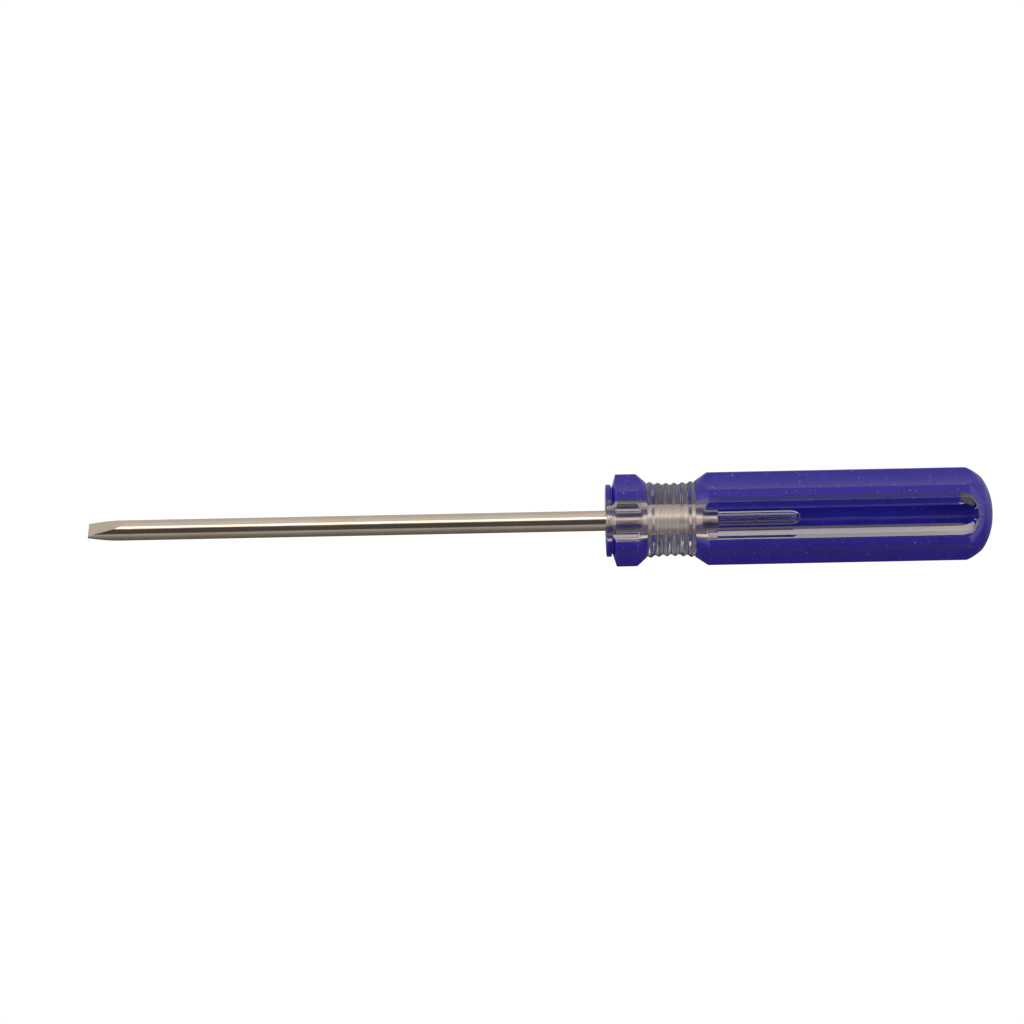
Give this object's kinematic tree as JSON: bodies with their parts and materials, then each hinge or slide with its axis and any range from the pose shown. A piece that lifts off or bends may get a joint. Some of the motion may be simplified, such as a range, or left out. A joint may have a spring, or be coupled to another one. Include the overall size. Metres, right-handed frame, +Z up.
{
  "type": "flat-blade screwdriver",
  "caption": "Small flat-blade screwdriver: a slim plated round blade pressed into a six-sided two-colour handle with a ringed clear neck, clear windows and a domed end.",
  "frame": {"origin": "on the shaft's axis at the handle's front face, where the blade comes out", "axes": "+X along the tool towards the handle's domed end, the blade points to -X, +Z up with one clear window on top"},
  "size_m": [0.1332, 0.0138, 0.0128],
  "materials": {
    "plated_steel": "bright nickel plate over drawn steel wire",
    "clear_plastic": "clear glossy moulded plastic",
    "blue_plastic": "glossy deep violet-blue moulded plastic"
  },
  "bodies": {
    "root": {"blade_shaft": "plated_steel", "clear_core": "clear_plastic", "grip_shell": "blue_plastic", "collar_lobe_1": "blue_plastic", "collar_lobe_2": "blue_plastic", "collar_lobe_3": "blue_plastic"}
  },
  "joints": []
}
